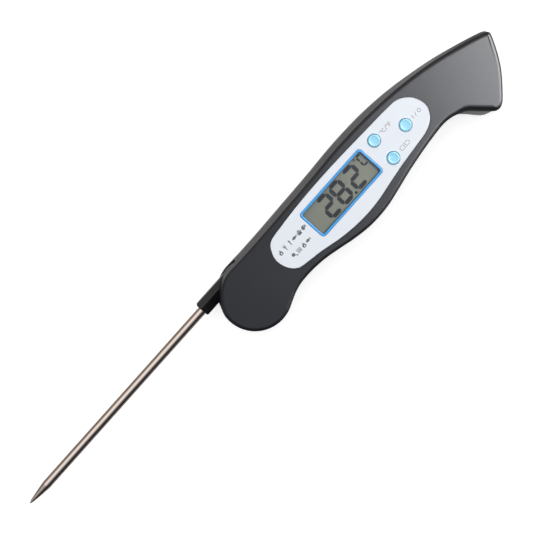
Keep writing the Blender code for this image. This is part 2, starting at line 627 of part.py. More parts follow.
def make_probe():
    """The folding probe: moulded hub and neck, steel tube, pointed tip, sensor bead and its leads."""
    hub = cylinder("probe_hub", HUB_R, HUB_LOW_Z, HUB_HIGH_Z, sides=48)
    join(hub, round_edges(neck_bar(), NECK_CHAMFER, 1))
    cut(hub, cylinder_along_x("tube_way", TUBE_R + 0.15, NECK_END_X - 5, TUBE_START_X + 0.3,
                              (PROBE_Y, PROBE_Z), 24),
        box("lead_channel", (TUBE_START_X - 0.5, 0.0), (HUB_RECESS_R - 2.5, PROBE_Y + 1.2),
            (PROBE_Z - 1.0, HUB_HIGH_Z + 1)),
        cylinder("hub_top_recess", HUB_RECESS_R, HUB_RECESS_Z, HUB_HIGH_Z + 1, sides=24),
        cylinder("hub_rear_recess", HUB_RECESS_R, HUB_LOW_Z - 1, HUB_LOW_Z + 0.8, sides=24),
        cylinder("hub_bore", HUB_BORE_R, HUB_LOW_Z - 2, HUB_HIGH_Z + 2, sides=24))
    finish_part(hub, CHARCOAL)

    tube = turned("probe_tube", [(TUBE_R, TUBE_START_X), (TUBE_R, CONE_START_X), (TUBE_BORE_R, CONE_START_X),
                                 (TUBE_BORE_R, TUBE_START_X)], sides=28, closed=True)
    turn_along_probe(tube)
    spigot_r = TUBE_BORE_R - 0.15
    tip = turned("probe_tip", [(0.0, CONE_START_X + 4.0), (spigot_r, CONE_START_X + 4.0),
                               (spigot_r, CONE_START_X - 0.05), (TUBE_R, CONE_START_X - 0.05),
                               (TIP_MID_R, TIP_MID_X), (TIP_FLAT_R, TIP_X), (0.0, TIP_X)], sides=28)
    turn_along_probe(tip)
    finish_part(tube, STEEL)
    finish_part(tip, STEEL)

    bead_x = CONE_START_X + 6.0
    bpy.ops.mesh.primitive_uv_sphere_add(segments=12, ring_count=8, radius=1.0 * MM)
    bead = bpy.context.object
    bead.name = "thermistor_bead"
    bead.location = (bead_x * MM, PROBE_Y * MM, PROBE_Z * MM)
    finish_part(bead, BLACK)
    for name, side in (("sensor_lead_a", 0.6), ("sensor_lead_b", -0.6)):
        route = [(bead_x + 1.3, PROBE_Y + side, PROBE_Z), (-60.0, PROBE_Y + side, PROBE_Z),
                 (TUBE_START_X - 3.0, PROBE_Y + side, PROBE_Z), (-2.6 + side, PROBE_Y - 1.6, PROBE_Z + 0.4),
                 (-2.3 + side, 7.2, PROBE_Z + 1.4), (-2.2 + side, 5.3, PROBE_Z + 1.8)]
        finish_part(wire(name, route, LEAD_R), LEAD_RED if side > 0 else BLACK)


def turn_along_probe(obj):
    """Lays a piece turned about Z along the probe's axis, its heights becoming X."""
    obj.rotation_euler.y = math.radians(90.0)
    obj.location = (0.0, PROBE_Y * MM, PROBE_Z * MM)


def make_board_leads():
    for name, side in (("board_lead_a", 0.7), ("board_lead_b", -0.7)):
        route = [(5.2, side, 12.9), (8.0, side, 13.2), (14.0, side, 13.7), (21.0, side, 13.2),
                 (27.0, side, 12.3), (32.0, side, BOARD_Z[1] + 0.6)]
        finish_part(wire(name, route, LEAD_R), LEAD_RED if side > 0 else BLACK)


# ---------------------------------------------------------------- assembly

clear_scene()
PARTS = new_collection("folding_thermometer")
CUTTERS = new_collection("cutters")

CHARCOAL = make_material("charcoal_plastic", (0.035, 0.038, 0.043), 0.42)
WHITE = make_material("white_panel", (0.86, 0.88, 0.92), 0.35)
BLUE = make_material("blue_frame", (0.03, 0.33, 0.80), 0.30)
CYAN = make_material("cyan_button", (0.28, 0.72, 0.92), 0.38)
CLEAR = make_material("clear_window", (0.80, 0.82, 0.78), 0.08)
LCD_GREY = make_material("display_grey", (0.22, 0.24, 0.19), 0.25)
STEEL = make_material("stainless_steel", (0.62, 0.57, 0.52), 0.25, 1.0)
BRASS = make_material("plated_brass", (0.78, 0.60, 0.32), 0.30, 1.0)
MAGNET_GREY = make_material("magnet", (0.30, 0.30, 0.31), 0.40, 1.0)
BOARD_GREEN = make_material("board_green", (0.03, 0.22, 0.09), 0.45)
SEAL_RUBBER = make_material("seal_rubber", (0.05, 0.05, 0.05), 0.80)
BLACK = make_material("black_plastic", (0.02, 0.02, 0.02), 0.50)
LEAD_RED = make_material("lead_red", (0.55, 0.03, 0.02), 0.50)

finish_part(make_front_shell(casing_outline(FRONT_HOOK_EDGE)), CHARCOAL)
finish_part(make_rear_shell(casing_outline(REAR_HOOK_EDGE)), CHARCOAL)
finish_part(make_panel(), WHITE)
make_display()
make_board()
for button_name, button_spot in BUTTONS.items():
    make_button(button_name, button_spot)
make_cell_parts()
make_fasteners()
make_probe()
make_board_leads()
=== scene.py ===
"""The looks of the folding digital meat thermometer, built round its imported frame.

Frame: the origin is on the fold axis at the rear face, +X runs along the casing towards its tail,
+Y towards its nearly straight back edge and +Z out of the display face. Named sizes are millimetres.
Visible pieces are modelled again in detail; the hidden inner parts are the CAD nodes themselves.
"""
import json
import math

import bmesh
import bpy
from mathutils import Matrix, Quaternion, Vector


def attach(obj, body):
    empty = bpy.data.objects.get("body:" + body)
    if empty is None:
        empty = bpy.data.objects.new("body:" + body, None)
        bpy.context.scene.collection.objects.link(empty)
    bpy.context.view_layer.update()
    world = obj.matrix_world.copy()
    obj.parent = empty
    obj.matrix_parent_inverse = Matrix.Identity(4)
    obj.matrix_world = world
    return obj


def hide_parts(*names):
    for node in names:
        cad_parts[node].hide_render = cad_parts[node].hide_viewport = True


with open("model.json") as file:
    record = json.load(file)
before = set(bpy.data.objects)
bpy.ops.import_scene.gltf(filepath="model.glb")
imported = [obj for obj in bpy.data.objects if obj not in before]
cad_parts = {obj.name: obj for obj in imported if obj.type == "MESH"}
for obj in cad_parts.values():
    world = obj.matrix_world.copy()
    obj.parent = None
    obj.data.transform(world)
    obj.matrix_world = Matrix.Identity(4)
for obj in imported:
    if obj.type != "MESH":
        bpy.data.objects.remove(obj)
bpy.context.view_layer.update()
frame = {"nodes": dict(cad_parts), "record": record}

MM = 0.001
RECORD = frame["record"]
SLOT_OF_NODE = {part["node"]: part.get("material_slot") for part in RECORD["subparts"]}

# Casing
FRONT_Z = 18.0
WALL = 1.8
COVER_WALL = 2.0
STEP = 0.1
SKIN_Z = FRONT_Z - WALL
PARTING_Z = 9.2
SEAM_HALF = 0.02
SEAM_CHAMFER = 0.16
# edge rounding and lean of the front wall: (at the display, at the tail), easing between these X;
# only the upper side leans, from no lean to all of it between these Y
EDGE_R = (1.6, 2.1)
WALL_LEAN = (1.2, 0.1)
EASE_X = (80.0, 118.0)
LEAN_Y = (2.0, 12.0)
# the rounding changes along the tail's right edge and under the hook, and the rear shell's ledge
# under the hook has a rounding of its own
TAIL_EDGE_R = 1.4
TAIL_EDGE_Y = (0.5, -3.0)
TAIL_EDGE_X = (121.0, 123.5)
HOOK_EDGE_R = 2.9
LEDGE_X = (106.0, 111.0)
LEDGE_MIN_Y = -12.0
LEDGE_ROUND = 0.9
REAR_EDGE_R = 2.0
REAR_EDGE_SHARE = 0.6
FILLET_STEPS = 7
OUTLINE_STEP = 0.8
SLOT_Z = (6.1, 12.3)
SLOT_WALL = 1.2
SLOT_BACK_Y = -8.4
SWEEP_R = 125.2
BAY_X = (21.0, 127.0)
COVERED_END_X = 112.0
FIT_GAP = 0.2
BEYOND = 1.0  # how far a cutter runs past the face that it opens

# Round end, hub and probe
DISC_CENTER = (0.1, -0.4)
DISC_R = 15.05
HUB_R = 14.2
HUB_POCKET_R = 14.4
HUB_Z = (6.4, 12.0)
HUB_BORE_R = 3.7
HUB_RECESS_R = 6.5
HUB_RECESS_Z = (7.2, 10.2)
MOUTH_END_X = 4.3
POST_R = 2.6
PROBE_Y = 10.6
PROBE_Z = PARTING_Z
TUBE_R = 1.82
TUBE_BORE_R = 1.4
TUBE_START_X = -4.5
CONE_START_X = -114.1
TIP_X = -124.2
TIP_R = 0.3
TIP_FULLNESS = 0.75
NECK_SECTION = [(0.9, 2.92), (1.4, 2.78), (3.4, 2.55), (3.4, -2.55), (1.4, -2.78), (0.9, -2.92), (-2.9, -1.3),
                (-2.9, 1.3)]
NECK_BACK_Y = 2.9
NECK_END_X = -19.35

# Display panel
PANEL_Z = (17.05, 17.85)
POCKET_Z = 16.9
FRAME_X = (35.3, 71.4)
FRAME_Y = (-5.7, 7.7)
FRAME_W = 0.85
FRAME_CORNER = 1.5
GLASS_X = (34.3, 72.3)
GLASS_Y = (-6.3, 8.9)
GLASS_Z = (14.2, 16.0)
BUTTONS = {"units": (77.6, 5.2), "hold": (77.6, -5.2), "power": (90.6, 0.0)}
BUTTON_R = 2.5
BUTTON_HOLE_R = 2.75
BUTTON_TOP_Z = 18.65
FLANGE_R = 3.3
INK_T = 0.02
INK_GAP = 0.002
PLATE_GAP = 0.15

# Rear
CELL_XY = (58.0, -0.5)
CELL_ROOM_R = 10.35
CUP_R = 12.4
CUP_Z = (5.1, 6.0)
CAP_HOLE_R = 11.4
CAP_LEDGE_Z = 2.0
CAP_R = 11.1
CAP_Z = (0.2, 1.2)
CAP_BOSS_R = 9.9
CAP_BOSS_Z = 1.5
CASE_SCREWS = [(24.5, 8.2), (105.0, 3.5), (131.5, -4.5)]
BOARD_SCREWS = [(31.8, 7.4), (97.2, 7.2), (97.2, -4.4)]
BOARD_TOP_Z = 11.4
CASE_BOSS_R = 2.6
CASE_PILOT_R = 1.3
BOARD_BOSS_R = 1.9
BOARD_PILOT_R = 0.9
PILOT_ROOF = 1.5
BOARD_PILOT_ROOF = 0.4
REAR_BOSS_R = 3.4
SCREW_WAY_R = 1.35
HEAD_RECESS_R = 2.4
HEAD_RECESS_Z = 3.2
PIVOT_WAY_R = 1.5
PIVOT_RECESS_R = 2.6
PIVOT_RECESS_Z = 3.8
SCREW_HEAD_R = 2.1
SCREW_HEAD_Z = (1.6, 3.0)
MAGNET_R = 6.0
MAGNET_RECESS_Z = 1.9

# Plan outlines, in order round the casing; the smooth curve passes through every point
UPPER_EDGE = [(10, 14.45), (20, 14.5), (35, 14.8), (50, 15.12), (65, 15.65), (80, 15.3), (93, 13.95),
              (105, 11.7), (118, 8.4), (129, 4.75), (136.7, 1.85)]
TAIL_CORNER = [(139.6, 0.45), (140.4, -0.7), (139.85, -2.2)]
TAIL_EDGE = [(138.2, -5.3), (135.7, -9.5), (132.55, -13.8), (128.8, -17.85), (125.0, -21.5)]
HOOK_TIP = [(123.1, -23.05), (121.1, -23.95), (119.2, -23.65)]
FRONT_HOOK_EDGE = [(117.6, -22.4), (114.5, -18.9), (111.4, -15.3), (108.3, -13.3), (104.6, -11.85)]
REAR_HOOK_EDGE = [(117.2, -23.1), (114.4, -21.7), (112.2, -19.2), (110.1, -16.3), (107.6, -13.7),
                  (104.4, -11.85)]
LOWER_EDGE = [(100, -11.3), (92, -11.85), (84, -12.8), (76, -14.05), (68, -15.6), (62, -16.55),
              (56, -16.85), (50, -16.5), (43, -15.25), (36, -13.45), (29, -11.85), (22, -11.1),
              (16, -11.2), (12, -12.0), (8.6, -13.2)]
DISC_ARC_DEG = (-70.0, -274.0)
DISC_ARC_STEPS = 24
PANEL_EDGE = [(15.7, 1.2), (16.6, 5.2), (20, 9.1), (28, 10.2), (40, 11.0), (52, 11.25), (65, 11.05),
              (80, 10.5), (90, 10.1), (96, 9.2), (100.2, 5.9), (102.0, 1.6), (101.6, -2.4), (98.8, -6.0),
              (94, -8.1), (86, -9.0), (78, -9.8), (70, -10.9), (62, -12.1), (55, -12.5), (47, -12.1),
              (39, -10.8), (31, -8.8), (24, -7.5), (19.5, -6.3), (16.8, -3.2)]

# Camera: what the middle of the picture looks at, how it is turned and tilted, and how far off it is
LOOK_AT = (11.47, 3.76, FRONT_Z)
TURN_DEG = 48.27
TILT = (0.05, 0.085)
DISTANCE_MM = 1300.0
PICTURE_WIDTH_MM = 213.2
SENSOR_MM = 36.0


# ---------------------------------------------------------------- materials

def make_material(name, color, roughness, metallic=0.0, grain_mm=0.3, bump_mm=0.003, mottle=0.05,
                  stretch=(1.0, 1.0, 1.0), specular=0.5, coat=0.0, alpha=1.0):
    """A Principled material whose fine grain, colour and gloss vary a little over the surface."""
    material = bpy.data.materials.new(name)
    material.use_nodes = True
    nodes = material.node_tree.nodes
    links = material.node_tree.links
    shader = nodes["Principled BSDF"]
    shader.inputs["Metallic"].default_value = metallic
    shader.inputs["Specular IOR Level"].default_value = specular
    shader.inputs["Coat Weight"].default_value = coat
    shader.inputs["Coat Roughness"].default_value = 0.12
    shader.inputs["Alpha"].default_value = alpha
    place = nodes.new("ShaderNodeTexCoord")
    mapping = nodes.new("ShaderNodeMapping")
    mapping.inputs["Scale"].default_value = stretch
    links.new(place.outputs["Object"], mapping.inputs["Vector"])

    grain = nodes.new("ShaderNodeTexNoise")
    grain.inputs["Scale"].default_value = 1.0 / (grain_mm * MM)
    grain.inputs["Detail"].default_value = 3.0
    links.new(mapping.outputs["Vector"], grain.inputs["Vector"])
    bump = nodes.new("ShaderNodeBump")
    bump.inputs["Distance"].default_value = bump_mm * MM
    bump.inputs["Strength"].default_value = 1.0
    links.new(grain.outputs["Fac"], bump.inputs["Height"])
    links.new(bump.outputs["Normal"], shader.inputs["Normal"])

    cloud = nodes.new("ShaderNodeTexNoise")
    cloud.inputs["Scale"].default_value = 1.0 / (18.0 * MM)
    cloud.inputs["Detail"].default_value = 4.0
    links.new(place.outputs["Object"], cloud.inputs["Vector"])
    tint = nodes.new("ShaderNodeMix")
    tint.data_type = "RGBA"
    tint.inputs["A"].default_value = (*[value * (1.0 - mottle) for value in color], 1.0)
    tint.inputs["B"].default_value = (*[min(1.0, value * (1.0 + mottle)) for value in color], 1.0)
    links.new(cloud.outputs["Fac"], tint.inputs["Factor"])
    links.new(tint.outputs["Result"], shader.inputs["Base Color"])
    gloss = nodes.new("ShaderNodeMapRange")
    gloss.inputs["To Min"].default_value = roughness * 0.92
    gloss.inputs["To Max"].default_value = roughness * 1.08
    links.new(cloud.outputs["Fac"], gloss.inputs["Value"])
    links.new(gloss.outputs["Result"], shader.inputs["Roughness"])
    return material


def make_materials():
    """One material for each slot of the record, and a few for the details that have no slot."""
    return {
        "casing": make_material("casing_plastic", (0.006, 0.0078, 0.0125), 0.36, grain_mm=0.22,
                                bump_mm=0.0035, specular=0.36),
        "hub": make_material("hub_plastic", (0.004, 0.004, 0.0045), 0.32, grain_mm=0.22, bump_mm=0.003,
                             specular=0.4),
        "panel": make_material("panel_white", (0.765, 0.82, 0.89), 0.34, grain_mm=0.5, bump_mm=0.002,
                               mottle=0.015, specular=0.2),
        "display_frame": make_material("bezel_blue", (0.022, 0.355, 0.85), 0.28, grain_mm=0.4, bump_mm=0.001),
        "window": make_material("window_clear", (0.02, 0.02, 0.02), 0.06, bump_mm=0.0002, mottle=0.0,
                                alpha=0.06),
        "display": make_material("display_cell", (0.21, 0.23, 0.178), 0.35, grain_mm=0.15, bump_mm=0.001,
                                 mottle=0.10),
        "digits": make_material("display_segments", (0.004, 0.008, 0.016), 0.5, grain_mm=0.15, bump_mm=0.001,
                                specular=0.25),
        # dark grey of the display's border sheet, which paints the shadow of the window's edges on the cell
        "display_painted_shadow": make_material("display_painted_shadow", (0.10, 0.112, 0.115), 0.4, grain_mm=0.15,
                                      bump_mm=0.001),
        "white_moulding": make_material("white_moulding", (0.75, 0.75, 0.72), 0.5),
        "rubber": make_material("rubber", (0.03, 0.03, 0.03), 0.75, grain_mm=0.4, bump_mm=0.01),
        "board": make_material("circuit_board", (0.015, 0.14, 0.05), 0.38, grain_mm=0.8, bump_mm=0.01,
                               mottle=0.15),
        "black": make_material("black_plastic", (0.012, 0.012, 0.012), 0.45),
        "steel": make_material("plated_steel", (0.55, 0.55, 0.54), 0.28, 1.0, grain_mm=0.3, bump_mm=0.002),
        "brass": make_material("plated_brass", (0.72, 0.55, 0.28), 0.28, 1.0, grain_mm=0.3, bump_mm=0.002),
        "button": make_material("button_cyan", (0.215, 0.60, 0.83), 0.38, grain_mm=0.25, bump_mm=0.002,
                                mottle=0.03),
        "magnet": make_material("magnet_plated", (0.36, 0.36, 0.37), 0.34, 1.0, grain_mm=0.25, bump_mm=0.004,
                                mottle=0.12),
        "probe_steel": make_material("probe_steel", (0.66, 0.595, 0.55), 0.13, 1.0, grain_mm=0.25,
                                     bump_mm=0.0012, mottle=0.06, stretch=(0.06, 1.0, 1.0)),
        "lead_red": make_material("lead_red", (0.5, 0.02, 0.015), 0.45),
        "ink": make_material("ink_grey", (0.06, 0.06, 0.07), 0.5, grain_mm=0.15, bump_mm=0.001, mottle=0.12),
        "ink_light": make_material("ink_light_grey", (0.24, 0.24, 0.26), 0.5, grain_mm=0.15, bump_mm=0.001,
                                   mottle=0.12),
    }


# ---------------------------------------------------------------- mesh helpers

def link(obj):
    bpy.context.scene.collection.objects.link(obj)
    return obj


def polar(radius, angle_deg):
    angle = math.radians(angle_deg)
    return (radius * math.cos(angle), radius * math.sin(angle))


def loft(name, rings):
    """A closed skin through rings of (x, y, z) points; all rings have the same number of points."""
    shape = bmesh.new()
    levels = [[shape.verts.new([value * MM for value in point]) for point in ring] for ring in rings]
    for low, high in zip(levels, levels[1:]):
        for i, corner in enumerate(low):
            j = (i + 1) % len(low)
            shape.faces.new((corner, high[i], high[j], low[j]))
    shape.faces.new(levels[0])
    shape.faces.new(levels[-1])
    bmesh.ops.recalc_face_normals(shape, faces=shape.faces)
    mesh = bpy.data.meshes.new(name)
    shape.to_mesh(mesh)
    shape.free()
    return link(bpy.data.objects.new(name, mesh))


def lathe(name, profile, center=(0.0, 0.0), sides=64, closed=False, along_probe=False):
    """A turned solid from its (radius, height) points; along_probe lays its heights along X."""
    shape = bmesh.new()
    rings = []
    for radius, height in profile:
        turns = [(0.0, 0.0)] if radius == 0.0 else [polar(radius, 360.0 * k / sides) for k in range(sides)]
        if along_probe:
            points = [(height, PROBE_Y + a, PROBE_Z + b) for a, b in turns]
        else:
            points = [(center[0] + a, center[1] + b, height) for a, b in turns]
        rings.append([shape.verts.new([value * MM for value in point]) for point in points])
    pairs = list(zip(rings, rings[1:])) + ([(rings[-1], rings[0])] if closed else [])
    for low, high in pairs:
        if len(low) == len(high) == 1:
            continue
        for i in range(sides):
            j = (i + 1) % sides
            corners = [low[i % len(low)], low[j % len(low)], high[j % len(high)], high[i % len(high)]]
            shape.faces.new(list(dict.fromkeys(corners)))
    bmesh.ops.recalc_face_normals(shape, faces=shape.faces)
    mesh = bpy.data.meshes.new(name)
    shape.to_mesh(mesh)
    shape.free()
    return link(bpy.data.objects.new(name, mesh))


def plate(name, outlines, z_low, z_high, bevel=0.0, steps=2):
    """A flat plate; the first outline is its edge and outlines inside another are holes in it."""
    curve = bpy.data.curves.new(name, "CURVE")
    curve.dimensions = "2D"
    curve.fill_mode = "BOTH"
    curve.extrude = (0.5 * (z_high - z_low) - bevel) * MM
    curve.bevel_depth = bevel * MM
    curve.bevel_resolution = steps
    curve.offset = -bevel * MM
    for outline in outlines:
        spline = curve.splines.new("POLY")
        spline.points.add(len(outline) - 1)
        for point, (x, y) in zip(spline.points, outline):
            point.co = (x * MM, y * MM, 0.0, 1.0)
        spline.use_cyclic_u = True
    source = link(bpy.data.objects.new(name + "_outline", curve))
    bpy.context.view_layer.update()
    mesh = bpy.data.meshes.new_from_object(source.evaluated_get(bpy.context.evaluated_depsgraph_get()))
    bpy.data.objects.remove(source, do_unlink=True)
    mesh.transform(Matrix.Translation((0.0, 0.0, 0.5 * (z_low + z_high) * MM)))
    shape = bmesh.new()
    shape.from_mesh(mesh)
    bmesh.ops.remove_doubles(shape, verts=shape.verts, dist=0.0005 * MM)
    shape.to_mesh(mesh)
    shape.free()
    return link(bpy.data.objects.new(name, mesh))


def block(name, x_range, y_range, z_range):
    corners = [(x_range[0], y_range[0]), (x_range[0], y_range[1]), (x_range[1], y_range[1]),
               (x_range[1], y_range[0])]
    return loft(name, [[(x, y, z) for x, y in corners] for z in z_range])


def peg(name, radius, z_low, z_high, center=(0.0, 0.0), sides=48):
    return lathe(name, [(0.0, z_low), (radius, z_low), (radius, z_high), (0.0, z_high)], center, sides)


def close_slivers(mesh):
    """Welds the points that cuts leave on each other, and closes the flat slivers that they leave open."""
    shape = bmesh.new()
    shape.from_mesh(mesh)
    bmesh.ops.remove_doubles(shape, verts=shape.verts, dist=0.001 * MM)
    open_edges = [edge for edge in shape.edges if edge.is_boundary]
    bmesh.ops.holes_fill(shape, edges=open_edges, sides=12)
    shape.to_mesh(mesh)
    shape.free()


def carve(obj, steps):
    """Adds or cuts away solids in order, then keeps the result as the object's own mesh."""
    tools = []
    for kind, tool in steps:
        modifier = obj.modifiers.new(kind.lower(), "BOOLEAN")
        modifier.operation = kind
        modifier.solver = "EXACT"
        modifier.object = tool
        tools.append(tool)
    bpy.context.view_layer.update()
    evaluated = obj.evaluated_get(bpy.context.evaluated_depsgraph_get())
    mesh = bpy.data.meshes.new_from_object(evaluated)
    close_slivers(mesh)
    obj.modifiers.clear()
    obj.data = mesh
    for tool in set(tools):
        bpy.data.objects.remove(tool, do_unlink=True)
    return obj


def cuts(*tools):
    return [("DIFFERENCE", tool) for tool in tools]


def unions(*tools):
    return [("UNION", tool) for tool in tools]


def dress(obj, material, body, replaced=(), smooth_deg=32.0):
    """Gives a finished piece its material, clean shading, its body and the CAD nodes it stands for."""
    obj.data.materials.clear()
    obj.data.materials.append(MATERIALS[material])
    obj.data.shade_smooth()
    obj.data.set_sharp_from_angle(angle=math.radians(smooth_deg))
    weighted = obj.modifiers.new("weighted normals", "WEIGHTED_NORMAL")
    weighted.keep_sharp = True
    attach(obj, body)
    if replaced:
        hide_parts(*replaced)
    return obj


# ---------------------------------------------------------------- outlines

def catmull_rom(p0, p1, p2, p3, t):
    return tuple(0.5 * (2 * b + (c - a) * t + (2 * a - 5 * b + 4 * c - d) * t ** 2
                        + (3 * b - a - 3 * c + d) * t ** 3)
                 for a, b, c, d in zip(p0, p1, p2, p3))


def smooth_loop(points, step=OUTLINE_STEP):
    """Samples the closed smooth curve through the points about every step millimetres."""
    count = len(points)
    loop = []
    for i in range(count):
        around = [points[(i + k) % count] for k in (-1, 0, 1, 2)]
        pieces = max(1, round(math.dist(around[1], around[2]) / step))
        loop.extend(catmull_rom(*around, k / pieces) for k in range(pieces))
    return loop


def inset(loop, distances):
    """Moves a clockwise closed outline inwards, by one distance or by one for each point."""
    if not isinstance(distances, list):
        distances = [distances] * len(loop)
    moved = []
    for i, ((x, y), distance) in enumerate(zip(loop, distances)):
        before = loop[i - 1]
        after = loop[(i + 1) % len(loop)]
        along = (after[0] - before[0], after[1] - before[1])
        length = math.hypot(*along)
        moved.append((x + along[1] / length * distance, y - along[0] / length * distance))
    return moved


def eased(value, start, end):
    """A share that goes smoothly from 0 to 1 as the value passes from start to end."""
    t = min(1.0, max(0.0, (value - start) / (end - start)))
    return t * t * (3.0 - 2.0 * t)


def mixed(low, high, share):
    return low + (high - low) * share


def on_hook(x, y):
    """1 along the hook's inner flank, easing to 0 where the casing's lower edge begins."""
    return eased(x, *LEDGE_X) if y < LEDGE_MIN_Y and x < HOOK_TIP[-1][0] else 0.0


def front_rounding(x, y):
    radius = mixed(*EDGE_R, eased(x, *EASE_X))
    radius = mixed(radius, TAIL_EDGE_R, eased(y, *TAIL_EDGE_Y) * eased(x, *TAIL_EDGE_X))
    return mixed(radius, HOOK_EDGE_R, on_hook(x, y))


def front_lean(x, y):
    return mixed(*WALL_LEAN, eased(x, *EASE_X)) * eased(y, *LEAN_Y)


def seam_chamfer(x, y):
    """How far the rear shell's top edge is cut back: a little, and more on the ledge under the hook."""
    return mixed(SEAM_CHAMFER, LEDGE_ROUND, on_hook(x, y))


def edge_room(loop, wanted, share=0.8):
    """The inset wanted at each point, made smaller where the plan turns tightly outwards."""
    reach = 3
    ease = 0.35
    count = len(loop)
    radii = []
    for i, (here, radius) in enumerate(zip(loop, wanted)):
        before = loop[i - reach]
        after = loop[(i + reach) % count]
        turn = ((here[0] - before[0]) * (after[1] - here[1])
                - (here[1] - before[1]) * (after[0] - here[0]))
        sides = math.dist(before, here) * math.dist(here, after) * math.dist(before, after)
        radii.append(min(radius, -share * sides / (2.0 * turn)) if turn < 0.0 else radius)
    for order in (range(2 * count), range(2 * count, 0, -1)):
        for k in order:
            i = k % count
            neighbour = (i - 1) % count if order.step > 0 else (i + 1) % count
            limit = radii[neighbour] + ease * math.dist(loop[i], loop[neighbour])
            radii[i] = min(radii[i], limit)
    return radii


def arc_run(center, radius, first_deg, last_deg, steps=14):
    turns = [polar(radius, first_deg + (last_deg - first_deg) * k / steps) for k in range(steps + 1)]
    return [(center[0] + dx, center[1] + dy) for dx, dy in turns]


def casing_outline(hook_edge):
    disc = arc_run(DISC_CENTER, DISC_R, *DISC_ARC_DEG, DISC_ARC_STEPS)
    return smooth_loop(UPPER_EDGE + TAIL_CORNER + TAIL_EDGE + HOOK_TIP + hook_edge + LOWER_EDGE + disc)


def rounded_rectangle(x_range, y_range, radius, steps=8):
    (left, right), (low, high) = grown(x_range, -radius), grown(y_range, -radius)
    corners = [(right, high, 0), (left, high, 90), (left, low, 180), (right, low, 270)]
    points = []
    for x, y, start in corners:
        for k in range(steps + 1):
            dx, dy = polar(radius, start + 90.0 * k / steps)
            points.append((x + dx, y + dy))
    return points


def circle(center, radius, sides=48):
    turns = [polar(radius, 360.0 * k / sides) for k in range(sides)]
    return [(center[0] + dx, center[1] + dy) for dx, dy in turns]


def grown(value_range, amount):
    return (value_range[0] - amount, value_range[1] + amount)


def rounded_profile(points, radius, steps=4):
    """Rounds the inner corners of an open (radius, height) profile."""
    rounded = [points[0]]
    for before, corner, after in zip(points, points[1:], points[2:]):
        reach = min(radius, 0.45 * math.dist(before, corner), 0.45 * math.dist(corner, after))
        start = Vector(corner) + (Vector(before) - Vector(corner)).normalized() * reach
        end = Vector(corner) + (Vector(after) - Vector(corner)).normalized() * reach
        for k in range(steps + 1):
            t = k / steps
            rounded.append(tuple(start * (1 - t) ** 2 + Vector(corner) * 2 * t * (1 - t) + end * t ** 2))
    return rounded + [points[-1]]


# ---------------------------------------------------------------- casing

def slot_cutters():
    """The room between the shells that the hub, the neck and the tube move in."""
    far = 30.0
    neck_back_y = -(PROBE_Y - NECK_BACK_Y) + 2 * FIT_GAP
    first = math.degrees(math.asin(SLOT_BACK_Y / SWEEP_R))
    last = math.degrees(math.asin(-far / SWEEP_R))
    steps = 24
    arc = [polar(SWEEP_R, first + (last - first) * k / steps) for k in range(steps + 1)]
    return cuts(block("mouth", (-far, MOUTH_END_X), (-far, far), SLOT_Z),
                peg("hub_room", HUB_POCKET_R, *SLOT_Z, sides=96),
                block("neck_room", (0.0, -NECK_END_X + 2 * FIT_GAP), (-far, neck_back_y), SLOT_Z),
                plate("slot_room", [[(0.0, SLOT_BACK_Y)] + arc + [(0.0, -far)]], *SLOT_Z))


def room(name, outline, wall, end_x, low_y, z_low, z_high):
    """The hollow inside a wall, between the hub and end_x, kept above low_y."""
    inner = inset(outline[::3], wall)
    kept = [(x, y) for x, y in inner if BAY_X[0] < x < end_x and y > low_y]
    if min(y for _, y in inner) < low_y:
        kept += [(end_x, low_y), (BAY_X[0], low_y)]
    return plate(name, [kept], z_low, z_high)


